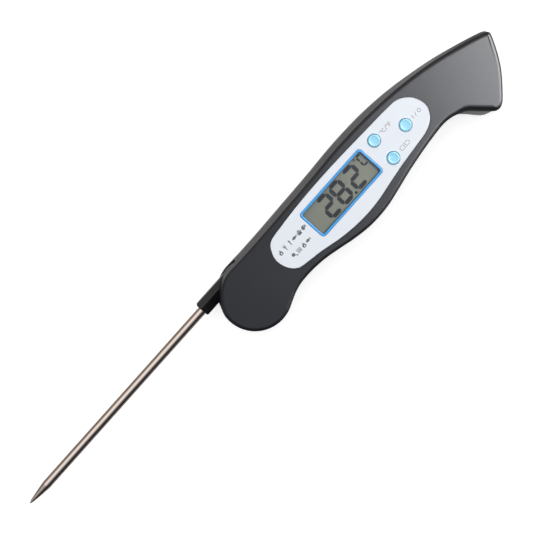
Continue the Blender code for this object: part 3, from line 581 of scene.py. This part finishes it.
def make_front_shell():
    outline = casing_outline(FRONT_HOOK_EDGE)
    wanted = [front_rounding(x, y) + front_lean(x, y) for x, y in outline]
    shares = [room / full for room, full in zip(edge_room(outline, wanted), wanted)]
    radii = [share * front_rounding(x, y) for (x, y), share in zip(outline, shares)]
    leans = [share * front_lean(x, y) for (x, y), share in zip(outline, shares)]
    seam_z = PARTING_Z + SEAM_HALF
    rings = [[(x, y, seam_z) for x, y in inset(outline, SEAM_CHAMFER)],
             [(x, y, seam_z + SEAM_CHAMFER) for x, y in outline]]
    for k in range(FILLET_STEPS + 1):
        sine, cosine = math.sin(math.pi / 2 * k / FILLET_STEPS), math.cos(math.pi / 2 * k / FILLET_STEPS)
        plan = inset(outline, [lean + radius * (1 - cosine) for lean, radius in zip(leans, radii)])
        rings.append([(x, y, FRONT_Z - radius * (1 - sine)) for (x, y), radius in zip(plan, radii)])
    shell = loft("casing_front", rings)
    roof = SKIN_Z + 0.3
    bosses = [peg("pivot_post", POST_R, HUB_Z[0] + FIT_GAP, roof)]
    bosses += [peg("case_boss", CASE_BOSS_R, seam_z + STEP, roof, spot) for spot in CASE_SCREWS[:2]]
    bosses += [peg("board_boss", BOARD_BOSS_R, BOARD_TOP_Z + FIT_GAP, roof, spot) for spot in BOARD_SCREWS]
    pilots = [peg("pilot", CASE_PILOT_R, HUB_Z[0] - BEYOND, SKIN_Z - PILOT_ROOF, spot, 24)
              for spot in [(0.0, 0.0)] + CASE_SCREWS]
    pilots += [peg("board_pilot", BOARD_PILOT_R, BOARD_TOP_Z, SKIN_Z - BOARD_PILOT_ROOF, spot, 24)
               for spot in BOARD_SCREWS]
    view = (grown(FRAME_X, -FRAME_W - 0.15), grown(FRAME_Y, -FRAME_W - 0.1))
    through = (SKIN_Z - BEYOND, FRONT_Z + BEYOND)
    openings = [plate("display_opening", [rounded_rectangle(*view, 0.8)], *through)]
    openings += [peg("button_hole", BUTTON_HOLE_R, *through, spot) for spot in BUTTONS.values()]
    bay_edge_y = SLOT_BACK_Y + SLOT_WALL
    cover_z = SLOT_Z[1] + SLOT_WALL
    steps = slot_cutters()
    steps += cuts(room("bay", outline, WALL, BAY_X[1], bay_edge_y, 0.0, SKIN_Z),
                  room("cover_room", outline, COVER_WALL, COVERED_END_X, -99.0, cover_z, SKIN_Z - STEP),
                  peg("disc_room", DISC_R - REAR_EDGE_R - 0.6, cover_z + STEP, SKIN_Z - 2 * STEP,
                      DISC_CENTER),
                  block("lead_groove", (HUB_BORE_R + 0.5, BAY_X[0] + 2), (-1.7, 1.7),
                        (SLOT_Z[1] - 0.5, SKIN_Z - 3 * STEP)))
    steps += unions(*bosses) + cuts(*pilots) + cuts(*openings)
    steps += cuts(plate("panel_pocket", [inset(smooth_loop(PANEL_EDGE), -0.1)], POCKET_Z, FRONT_Z + 2))
    dress(carve(shell, steps), "casing", "root", ["front_shell"])


def make_rear_shell():
    outline = casing_outline(REAR_HOOK_EDGE)
    radii = edge_room(outline, [REAR_EDGE_R] * len(outline), REAR_EDGE_SHARE)
    seam_z = PARTING_Z - SEAM_HALF
    rings = []
    for k in range(FILLET_STEPS + 1):
        sine, cosine = math.sin(math.pi / 2 * k / FILLET_STEPS), math.cos(math.pi / 2 * k / FILLET_STEPS)
        plan = inset(outline, [radius * (1 - sine) for radius in radii])
        rings.append([(x, y, radius * (1 - cosine)) for (x, y), radius in zip(plan, radii)])
    chamfers = [seam_chamfer(x, y) for x, y in outline]
    for degrees in (0, 30, 60, 90):
        sine, cosine = math.sin(math.radians(degrees)), math.cos(math.radians(degrees))
        plan = inset(outline, [chamfer * (1 - cosine) for chamfer in chamfers])
        rings.append([(x, y, seam_z - chamfer * (1 - sine)) for (x, y), chamfer in zip(plan, chamfers)])
    shell = loft("casing_rear", rings)
    cx, cy = CELL_XY
    under = 0.5 * WALL
    bay_edge_y = SLOT_BACK_Y + SLOT_WALL
    steps = slot_cutters()
    steps += cuts(room("bay", outline, WALL, BAY_X[1], bay_edge_y, WALL, FRONT_Z),
                  room("cover_room", outline, COVER_WALL, COVERED_END_X, -99.0, WALL + STEP,
                       SLOT_Z[0] - SLOT_WALL))
    steps += unions(peg("cell_cup", CUP_R, under, CUP_Z[1], CELL_XY, 72),
                    *[peg("case_boss", REAR_BOSS_R, under, seam_z - STEP, spot) for spot in CASE_SCREWS[:2]])
    recess = rounded_profile([(0.0, -BEYOND), (HEAD_RECESS_R + 1.0, -BEYOND), (HEAD_RECESS_R, 0.35),
                              (HEAD_RECESS_R, HEAD_RECESS_Z), (0.0, HEAD_RECESS_Z)], 0.1, 2)
    for spot in CASE_SCREWS:
        steps += cuts(lathe("screw_recess", recess, spot, 48),
                      peg("screw_way", SCREW_WAY_R, -BEYOND, PARTING_Z + BEYOND, spot, 24))
    steps += cuts(peg("pivot_way", PIVOT_WAY_R, -BEYOND, PARTING_Z, sides=24),
                  peg("pivot_recess", PIVOT_RECESS_R, -BEYOND, PIVOT_RECESS_Z),
                  peg("magnet_recess", MAGNET_R + FIT_GAP, -BEYOND, MAGNET_RECESS_Z, sides=72),
                  peg("cell_room", CELL_ROOM_R, 1, CUP_Z[0], CELL_XY, 72),
                  lathe("cap_hole", [(0.0, -BEYOND), (CAP_HOLE_R + 1.3, -BEYOND), (CAP_HOLE_R, 0.3),
                                     (CAP_HOLE_R, CAP_LEDGE_Z), (0.0, CAP_LEDGE_Z)], CELL_XY, 96),
                  block("negative_way", (cx - 9.4, cx - 1.6), (cy + 0.8, cy + 5.2), (4.5, 7)),
                  block("positive_way", (cx + 9.2, cx + 14.0), (cy - 2.0, cy + 2.0), (2.6, 7)))
    dress(carve(shell, steps), "casing", "root", ["rear_shell"])


# ---------------------------------------------------------------- panel and display

def make_panel():
    gap = 0.12
    window = rounded_rectangle(grown(FRAME_X, gap), grown(FRAME_Y, gap), FRAME_CORNER + gap)
    holes = [circle(spot, BUTTON_HOLE_R) for spot in BUTTONS.values()]
    edge = inset(smooth_loop(PANEL_EDGE), gap)
    dress(plate("panel_plate", [edge, window, *holes], *PANEL_Z, 0.16, 3), "panel", "root", ["face_panel"])


def make_bezel():
    inner = (grown(FRAME_X, -FRAME_W), grown(FRAME_Y, -FRAME_W))
    ring = [rounded_rectangle(FRAME_X, FRAME_Y, FRAME_CORNER), rounded_rectangle(*inner, FRAME_CORNER - 0.6)]
    dress(plate("display_bezel", ring, POCKET_Z + PLATE_GAP, PANEL_Z[1] + PLATE_GAP, 0.22, 3),
          "display_frame", "root", ["display_frame"])
    pane = rounded_rectangle(grown(inner[0], -0.1), grown(inner[1], -0.1), FRAME_CORNER - 0.7)
    dress(plate("display_pane", [pane], POCKET_Z + PLATE_GAP, PANEL_Z[1] - PLATE_GAP, 0.06, 1), "window",
          "root", ["display_window"])


def bar(start, end, width):
    """A display segment: a bar with pointed ends, level or upright."""
    half = 0.5 * width
    (x0, y0), (x1, y1) = start, end
    if y0 == y1:
        return [(x0, y0), (x0 + half, y0 + half), (x1 - half, y0 + half), (x1, y0), (x1 - half, y0 - half),
                (x0 + half, y0 - half)]
    return [(x0, y0), (x0 + half, y0 + half), (x0 + half, y1 - half), (x0, y1), (x0 - half, y1 - half),
            (x0 - half, y0 + half)]


def seven_segments(lit, x_left, y_low, width, height, stroke, gap):
    """Outlines of the lit segments, named a to g clockwise from the top with g in the middle."""
    left, right = x_left + 0.5 * stroke, x_left + width - 0.5 * stroke
    low, high = y_low + 0.5 * stroke, y_low + height - 0.5 * stroke
    middle = 0.5 * (low + high)
    ends = {"a": ((left + gap, high), (right - gap, high)), "b": ((right, middle + gap), (right, high - gap)),
            "c": ((right, low + gap), (right, middle - gap)), "d": ((left + gap, low), (right - gap, low)),
            "e": ((left, low + gap), (left, middle - gap)), "f": ((left, middle + gap), (left, high - gap)),
            "g": ((left + gap, middle), (right - gap, middle))}
    return [bar(*ends[name], stroke) for name in lit]


def make_reading():
    """The liquid crystal cell with a dark border sheet and the reading 28.2 degrees; through the window the
    sheet shows only along its right and bottom edges, where it is painted shadow of the window's edges.
    """
    cell = block("display_cell", GLASS_X, GLASS_Y, GLASS_Z)
    bevel = cell.modifiers.new("edge", "BEVEL")
    bevel.width = 0.15 * MM
    dress(cell, "display", "root", ["display_glass"])
    layer = (GLASS_Z[1] + 0.005, GLASS_Z[1] + 0.025)
    # the hole is set off so that the sheet shows through the window only along its right and bottom edges, as
    # painted shadow
    border = [rounded_rectangle(grown(GLASS_X, -0.2), grown(GLASS_Y, -0.2), 0.4),
              rounded_rectangle((35.4, 69.55), (-4.6, 7.6), 0.5)]
    dress(plate("display_border_painted_shadow", border, *layer), "display_painted_shadow", "root")

    digits = []
    low_y = -4.05
    for lit, x_left in (("abged", 42.95), ("abcdefg", 50.15), ("abged", 58.35)):
        digits += seven_segments(lit, x_left, low_y, 6.6, 10.4, 1.65, 0.08)
    digits += seven_segments("adef", 67.1, 0.9, 3.0, 5.4, 0.85, 0.06)
    digits.append(rounded_rectangle((57.0, 58.1), (low_y, -2.95), 0.3, 3))
    digits += [circle((66.2, 5.9), 0.6, 24), circle((66.2, 5.9), 0.25, 16)]
    lean = 0.03
    middle = 1.15
    leaning = [[(x + lean * (y - middle), y) for x, y in outline] for outline in digits]
    dress(plate("display_digits", leaning, *layer), "digits", "root")


# ---------------------------------------------------------------- buttons and printed marks

def make_button(name, spot):
    crown = [(0.0, BUTTON_TOP_Z - 0.12), (1.5, BUTTON_TOP_Z - 0.10), (1.9, BUTTON_TOP_Z),
             (BUTTON_R, BUTTON_TOP_Z - 0.06), (BUTTON_R, SKIN_Z - 0.2)]
    profile = rounded_profile(crown, 0.42, 5)
    profile += [(FLANGE_R, SKIN_Z - 0.2), (FLANGE_R, SKIN_Z - 1.0), (0.0, SKIN_Z - 1.0)]
    dress(lathe(name + "_cap", profile, spot, 56), "button", name + "_key", [name + "_button"])


def stroke(points, width):
    """The outline of a line of even width along an open run of points."""
    left, right = [], []
    for i, (x, y) in enumerate(points):
        before = points[max(i - 1, 0)]
        after = points[min(i + 1, len(points) - 1)]
        along = (after[0] - before[0], after[1] - before[1])
        length = math.hypot(*along)
        dx, dy = -0.5 * width * along[1] / length, 0.5 * width * along[0] / length
        left.append((x + dx, y + dy))
        right.append((x - dx, y - dy))
    return left + right[::-1]


def flame():
    body = smooth_loop([(0, -1), (0.55, -0.75), (0.7, -0.2), (0.45, 0.3), (0.05, 1.0), (-0.1, 0.45),
                        (-0.35, 0.15), (-0.45, 0.35), (-0.7, -0.15), (-0.6, -0.7)], 0.15)
    core = smooth_loop([(0, -0.78), (0.26, -0.5), (0.1, -0.05), (-0.12, -0.3), (-0.25, -0.5)], 0.1)
    return [body, core]


def fork():
    right = [(0.13, -1), (0.13, -0.05), (0.46, 0.25), (0.46, 1), (0.29, 1), (0.29, 0.4), (0.09, 0.4),
             (0.09, 1)]
    return [[(-0.13, -1)] + right + [(-x, y) for x, y in right[:0:-1]]]


def knife():
    return [[(-0.16, -1), (0.12, -1), (0.12, -0.02), (0.32, 0.05), (0.34, 0.6), (0.1, 1.0), (-0.16, 1.0)]]


def fish():
    body = smooth_loop([(-1.1, 0), (-0.5, 0.46), (0.25, 0.4), (0.62, 0.12), (1.05, 0.5), (0.95, 0),
                        (1.05, -0.5), (0.62, -0.12), (0.25, -0.4), (-0.5, -0.46)], 0.15)
    return [body, circle((-0.62, 0.12), 0.11, 12)]


def pot():
    lid = [(-0.75, 0.34), (0.75, 0.34), (0.5, 0.6), (0.16, 0.68), (0.16, 0.92), (-0.16, 0.92), (-0.16, 0.68),
           (-0.5, 0.6)]
    body = [(-0.75, 0.18), (-1.05, 0.18), (-1.05, -0.04), (-0.75, -0.04), (-0.68, -0.85), (0.68, -0.85),
            (0.75, -0.04), (1.05, -0.04), (1.05, 0.18), (0.75, 0.18)]
    return [lid, body]


def drumstick():
    return [smooth_loop([(-0.85, 0.45), (-0.45, 0.95), (0.15, 0.85), (0.42, 0.4), (0.28, -0.02), (0.72, -0.5),
                         (1.0, -0.5), (0.9, -0.75), (0.7, -1.0), (0.52, -0.72), (0.1, -0.26), (-0.45, -0.2),
                         (-0.85, 0.0)], 0.15)]


def steak():
    body = smooth_loop([(-0.95, 0.1), (-0.5, 0.65), (0.25, 0.72), (0.95, 0.35), (0.8, -0.25), (0.2, -0.35),
                        (-0.05, -0.72), (-0.7, -0.6)], 0.15)
    return [body, circle((0.4, 0.25), 0.2, 16)]


def grate():
    bars = (-0.72, -0.36, 0, 0.36, 0.72)
    return [rounded_rectangle((x - 0.09, x + 0.09), (-0.8, 0.8), 0.08, 2) for x in bars]


def print_marks(name, outlines, material, z_low=PANEL_Z[1] + INK_GAP):
    dress(plate(name, outlines, z_low, z_low + INK_T), material, "root")


def make_printed_marks():
    """Small pictures of food and cutlery beside the display, and a plain sign beside each button."""
    size = 1.2
    rows = [(3.1, 19.3, 2.75, (flame, fork, knife, fish, pot, steak)),
            (-1.65, 22.4, 2.7, (drumstick, grate, flame, fish))]
    for row, (y, first_x, pitch, signs) in enumerate(rows, 1):
        outlines = []
        for number, sign in enumerate(signs):
            x = first_x + pitch * number
            outlines += [[(x + size * dx, y + size * dy) for dx, dy in outline] for outline in sign()]
        print_marks(f"print_pictures_{row}", outlines, "ink")

    y = BUTTONS["units"][1]
    line = 0.3
    units = [circle((82.0, y + 0.6), 0.36, 20), circle((82.0, y + 0.6), 0.14, 14),
             stroke(arc_run((83.3, y), 0.72, 50, 310), line),
             stroke([(84.15, y - 0.85), (84.95, y + 0.85)], line),
             circle((85.5, y + 0.6), 0.36, 20), circle((85.5, y + 0.6), 0.14, 14),
             [(86.1, y - 0.85), (86.4, y - 0.85), (86.4, y - 0.15), (87.1, y - 0.15), (87.1, y + 0.15),
              (86.4, y + 0.15), (86.4, y + 0.55), (87.3, y + 0.55), (87.3, y + 0.85), (86.1, y + 0.85)]]
    y = BUTTONS["hold"][1]
    hold = [rounded_rectangle((81.8, 87.0), (y - 0.9, y + 0.9), 0.85),
            rounded_rectangle((82.05, 86.75), (y - 0.65, y + 0.65), 0.6),
            rounded_rectangle((83.75, 84.15), (y - 0.4, y + 0.4), 0.08, 2),
            rounded_rectangle((84.65, 85.05), (y - 0.4, y + 0.4), 0.08, 2)]
    y = BUTTONS["power"][1]
    power = [rounded_rectangle((94.8, 95.15), (y - 0.85, y + 0.85), 0.1, 2),
             stroke([(96.1, y - 0.85), (97.0, y + 0.85)], line),
             circle((98.6, y), 0.85, 32), circle((98.6, y), 0.55, 32)]
    for name, outlines in (("units", units), ("hold", hold), ("power", power)):
        print_marks("print_" + name, outlines, "ink_light")


# ---------------------------------------------------------------- probe and hub

def make_needle():
    """The steel tube with its drawn point, hollow as far as the sensor."""
    bore_end_x = CONE_START_X + 4.0
    profile = [(TUBE_BORE_R, TUBE_START_X), (TUBE_R, TUBE_START_X)]
    steps = 12
    for k in range(steps):
        share = k / steps
        radius = TIP_R + (TUBE_R - TIP_R) * (1.0 - share) ** TIP_FULLNESS
        profile.append((radius, CONE_START_X + share * (TIP_X - CONE_START_X)))
    profile += [(TIP_R, TIP_X + TIP_R), (0.6 * TIP_R, TIP_X), (0.0, TIP_X)]
    profile += [(0.0, bore_end_x), (TUBE_BORE_R, bore_end_x)]
    dress(lathe("needle", profile, sides=72, closed=True, along_probe=True), "probe_steel", "probe",
          ["probe_tube", "probe_tip"], 40.0)


def neck_bar():
    """The six-sided arm from the hub to the steel tube, chamfered at its end."""
    chamfer = 0.45
    rings = []
    for x, shrink in ((NECK_END_X, chamfer), (NECK_END_X + chamfer, 0.0), (-2.0, 0.0)):
        scale = 1.0 - shrink / NECK_SECTION[0][1]
        rings.append([(x, PROBE_Y + scale * dy, PROBE_Z + scale * dz) for dy, dz in NECK_SECTION])
    return loft("neck_bar", rings)


def make_hub():
    chamfer = 0.25
    z_low, z_high = HUB_Z
    profile = [(HUB_BORE_R, HUB_RECESS_Z[0]), (HUB_RECESS_R, HUB_RECESS_Z[0]), (HUB_RECESS_R, z_low),
               (HUB_R - chamfer, z_low), (HUB_R, z_low + chamfer), (HUB_R, z_high - chamfer),
               (HUB_R - chamfer, z_high), (HUB_RECESS_R, z_high), (HUB_RECESS_R, HUB_RECESS_Z[1]),
               (HUB_BORE_R, HUB_RECESS_Z[1])]
    hub = lathe("hub_and_neck", profile, sides=96, closed=True)
    way = lathe("tube_way", [(0.0, NECK_END_X - 5), (TUBE_R + 0.15, NECK_END_X - 5),
                             (TUBE_R + 0.15, TUBE_START_X + 0.3), (0.0, TUBE_START_X + 0.3)],
                sides=48, along_probe=True)
    channel = block("lead_channel", (TUBE_START_X - 0.5, 0.0), (HUB_RECESS_R - 2.5, PROBE_Y + 1.2),
                    (PROBE_Z - 1.0, z_high + 1))
    carve(hub, unions(neck_bar()) + cuts(way, channel))
    dress(hub, "hub", "probe", ["probe_hub"], 25.0)


# ---------------------------------------------------------------- rear details

def make_compartment_cap():
    profile = [(0.0, CAP_BOSS_Z), (CAP_BOSS_R, CAP_BOSS_Z), (CAP_BOSS_R, CAP_Z[1]), (CAP_R, CAP_Z[1]),
               (CAP_R, CAP_Z[0]), (CAP_R - 1.2, CAP_Z[0]), (CAP_R - 1.45, CAP_Z[0] + 0.2),
               (CAP_R - 1.7, CAP_Z[0]), (0.0, CAP_Z[0])]
    cap = lathe("compartment_cap", rounded_profile(profile, 0.2, 3), CELL_XY, 96)
    cx, cy = CELL_XY
    coin_slot = rounded_rectangle((cx - 7.0, cx + 7.0), (cy - 0.9, cy + 0.9), 0.9)
    dimples = [circle((cx + dx, cy + dy), 0.55, 24) for dx, dy in ((0, 7.8), (0, -7.8))]
    carve(cap, cuts(plate("coin_slot", [coin_slot], -1.0, CAP_Z[0] + 0.6),
                    *[plate("dimple", [ring], -1.0, CAP_Z[0] + 0.25) for ring in dimples]))
    dress(cap, "casing", "cap", ["battery_cap"])
    turn_arrow = stroke(arc_run(CELL_XY, 5.2, 35, 75, 10), 0.45)
    tip = [(cx + dx, cy + dy) for dx, dy in (polar(4.4, 75), polar(6.0, 75), polar(5.2, 90))]
    marks = plate("print_cap_arrow", [turn_arrow, tip], CAP_Z[0] - INK_T - INK_GAP, CAP_Z[0] - INK_GAP)
    dress(marks, "ink_light", "cap")


def make_rear_marks():
    """Plain dots beside the battery cap, which show where it locks and opens."""
    cx, cy = CELL_XY
    outlines = []
    for angle in (90, 45):
        x, y = polar(13.2, angle)
        outlines.append(circle((cx + x, cy + y), 0.55, 24))
    print_marks("print_cap_dots", outlines, "ink_light", -INK_T - INK_GAP)


def make_case_screw(number, spot):
    """A pan-head screw with a cross recess; its head is low and its point is high."""
    head_low, head_high = SCREW_HEAD_Z
    shank_r, thread_z, point_z = 1.1, 12.8, 14.0
    crown = rounded_profile([(0.0, head_low), (1.3, head_low + 0.02), (SCREW_HEAD_R, head_low + 0.55),
                             (SCREW_HEAD_R, head_high), (shank_r, head_high)], 0.35, 3)
    profile = crown + [(shank_r, thread_z), (0.4 * shank_r, point_z), (0.0, point_z)]
    screw = lathe(f"case_screw_detail_{number}", profile, spot, 40)
    x, y = spot
    long, short, deep = 1.15, 0.22, head_low + 0.75
    wings = [block("wing", (x - long, x + long), (y - short, y + short), (0.0, deep)),
             block("wing", (x - short, x + short), (y - long, y + long), (0.0, deep + 0.001))]
    carve(screw, cuts(*wings))
    dress(screw, "steel", "root", [f"case_screw_{number}"])


def finish_cad_nodes():
    """Materials for the CAD nodes that stay, and a small edge on the magnet."""
    for name, node in frame["nodes"].items():
        node.data.materials.clear()
        node.data.materials.append(MATERIALS[SLOT_OF_NODE[name]])
    magnet = frame["nodes"]["fridge_magnet"]
    bevel = magnet.modifiers.new("edge", "BEVEL")
    bevel.width = 0.3 * MM
    bevel.segments = 3
    bevel.limit_method = "ANGLE"
    bevel.angle_limit = math.radians(50.0)


# ---------------------------------------------------------------- stage, light and camera

def make_floor():
    """A plain pale floor, evenly white to the camera. To the other surfaces it is a grey table with painted
    light and shade on it, a painted pool of light on the casing's +Y side and painted shade elsewhere, so
    that it doesn't flood them.
    """
    bpy.ops.mesh.primitive_plane_add(size=6.0)
    floor = bpy.context.object
    floor.name = "floor"
    floor.location.z = -0.0002
    material = bpy.data.materials.new("floor_pale")
    material.use_nodes = True
    nodes = material.node_tree.nodes
    links = material.node_tree.links
    table = nodes["Principled BSDF"]
    table.inputs["Roughness"].default_value = 0.9
    place = nodes.new("ShaderNodeTexCoord")
    axes = nodes.new("ShaderNodeSeparateXYZ")
    links.new(place.outputs["Object"], axes.inputs["Vector"])
    shares = []
    # painted light and shade on the table, seen only in reflections: lighter between these X and beyond this
    # Y, on the casing's +Y side, and darker everywhere else
    painted_light_area = (("X", -0.025, -0.008), ("X", 0.134, 0.116), ("Y", -0.004, 0.006))
    for axis, start, end in painted_light_area:
        share = nodes.new("ShaderNodeMapRange")
        share.inputs["From Min"].default_value = start
        share.inputs["From Max"].default_value = end
        links.new(axes.outputs[axis], share.inputs["Value"])
        shares.append(share)
    painted_light_mask = None
    for share in shares:
        product = nodes.new("ShaderNodeMath")
        product.operation = "MULTIPLY"
        product.inputs[1].default_value = 1.0
        links.new(share.outputs["Result"], product.inputs[0])
        if painted_light_mask:
            links.new(painted_light_mask.outputs["Value"], product.inputs[1])
        painted_light_mask = product
    # the dark colour is painted shade and the light one a painted pool of light
    painted_light_tone = nodes.new("ShaderNodeMix")
    painted_light_tone.data_type = "RGBA"
    painted_light_tone.inputs["A"].default_value = (0.22, 0.20, 0.19, 1.0)
    painted_light_tone.inputs["B"].default_value = (0.62, 0.61, 0.61, 1.0)
    links.new(painted_light_mask.outputs["Value"], painted_light_tone.inputs["Factor"])
    links.new(painted_light_tone.outputs["Result"], table.inputs["Base Color"])
    pale = nodes.new("ShaderNodeBsdfDiffuse")
    pale.inputs["Color"].default_value = (0.5, 0.5, 0.5, 1.0)
    glow = nodes.new("ShaderNodeEmission")
    glow.inputs["Color"].default_value = (1.0, 1.0, 1.0, 1.0)
    glow.inputs["Strength"].default_value = 0.72
    seen = nodes.new("ShaderNodeAddShader")
    links.new(pale.outputs["BSDF"], seen.inputs[0])
    links.new(glow.outputs["Emission"], seen.inputs[1])
    path = nodes.new("ShaderNodeLightPath")
    choice = nodes.new("ShaderNodeMixShader")
    links.new(path.outputs["Is Camera Ray"], choice.inputs["Fac"])
    links.new(table.outputs["BSDF"], choice.inputs[1])
    links.new(seen.outputs["Shader"], choice.inputs[2])
    links.new(choice.outputs["Shader"], nodes["Material Output"].inputs["Surface"])
    floor.data.materials.append(material)


def make_world():
    """A room with a wide soft lamp a little to the +Y side overhead, darker towards -Y and -X."""
    world = bpy.data.worlds.new("room")
    bpy.context.scene.world = world
    world.use_nodes = True
    nodes = world.node_tree.nodes
    links = world.node_tree.links
    place = nodes.new("ShaderNodeTexCoord")
    axes = nodes.new("ShaderNodeSeparateXYZ")
    span = nodes.new("ShaderNodeMapRange")
    span.inputs["From Min"].default_value = -1.0
    ramp = nodes.new("ShaderNodeValToRGB")
    links.new(place.outputs["Generated"], axes.inputs["Vector"])
    links.new(axes.outputs["Y"], span.inputs["Value"])
    links.new(span.outputs["Result"], ramp.inputs["Fac"])
    links.new(ramp.outputs["Color"], nodes["Background"].inputs["Color"])
    shade = nodes.new("ShaderNodeMapRange")
    shade.inputs["From Min"].default_value = -0.38
    shade.inputs["From Max"].default_value = -0.14
    shade.inputs["To Min"].default_value = 0.42
    links.new(axes.outputs["X"], shade.inputs["Value"])
    links.new(shade.outputs["Result"], nodes["Background"].inputs["Strength"])
    stops = [(-1.0, (0.02, 0.02, 0.02)), (-0.68, (0.04, 0.04, 0.04)), (-0.40, (0.16, 0.16, 0.17)),
             (-0.09, (0.64, 0.65, 0.70)), (0.25, (1.17, 1.17, 1.16)), (0.57, (1.55, 1.46, 1.38)),
             (0.83, (0.90, 0.76, 0.68)), (1.0, (0.28, 0.22, 0.17))]
    elements = ramp.color_ramp.elements
    while len(elements) < len(stops):
        elements.new(0.5)
    for element, (y, color) in zip(elements, stops):
        element.position = 0.5 + 0.5 * y
        element.color = (*color, 1.0)


def make_area_light(name, location, size, energy, target=(0.01, 0.0, 0.01), spin_deg=0.0, diffuse=True,
                    glossy=True):
    data = bpy.data.lights.new(name, "AREA")
    data.shape = "RECTANGLE"
    data.size, data.size_y = size
    data.energy = energy
    light = link(bpy.data.objects.new(name, data))
    light.location = location
    aim = (Vector(target) - Vector(location)).to_track_quat("-Z", "Y")
    light.rotation_euler = (Quaternion((0.0, 0.0, 1.0), math.radians(spin_deg)) @ aim).to_euler()
    light.visible_camera = False
    light.visible_diffuse = diffuse
    light.visible_glossy = glossy
    return light


def make_lights():
    make_area_light("key", (0.1, 0.3, 2.2), (2.4, 2.4), 29.0, glossy=False)
    make_area_light("tail_sheen", (0.276, -0.072, 0.27), (0.28, 0.3), 5.0, (0.276, -0.072, 0.0),
                    spin_deg=-25.5, diffuse=False)
    make_area_light("tail_rim", (0.34, -0.17, 0.17), (0.5, 0.16), 3.6, (0.132, -0.012, 0.018), diffuse=False)


def make_camera():
    back = Vector((*TILT, 1.0)).normalized()
    turn = math.radians(TURN_DEG)
    up = Vector((math.sin(turn), math.cos(turn), 0.0))
    up = (up - back * up.dot(back)).normalized()
    camera_data = bpy.data.cameras.new("camera")
    camera_data.sensor_width = SENSOR_MM
    camera_data.lens = SENSOR_MM * DISTANCE_MM / PICTURE_WIDTH_MM
    camera_data.clip_start = 0.1
    camera_data.clip_end = 10.0
    camera = link(bpy.data.objects.new("camera", camera_data))
    camera.rotation_mode = "QUATERNION"
    camera.rotation_quaternion = Matrix((up.cross(back), up, back)).transposed().to_quaternion()
    camera.location = Vector(LOOK_AT) * MM + back * DISTANCE_MM * MM
    bpy.context.scene.camera = camera


# ---------------------------------------------------------------- assembly

bpy.context.scene.view_settings.view_transform = "Standard"
MATERIALS = make_materials()
finish_cad_nodes()
make_front_shell()
make_rear_shell()
make_panel()
make_bezel()
make_reading()
for button_name, button_spot in BUTTONS.items():
    make_button(button_name, button_spot)
make_printed_marks()
make_needle()
make_hub()
make_compartment_cap()
make_rear_marks()
for screw_number, screw_spot in enumerate(CASE_SCREWS, 1):
    make_case_screw(screw_number, screw_spot)
make_floor()
make_world()
make_lights()
make_camera()
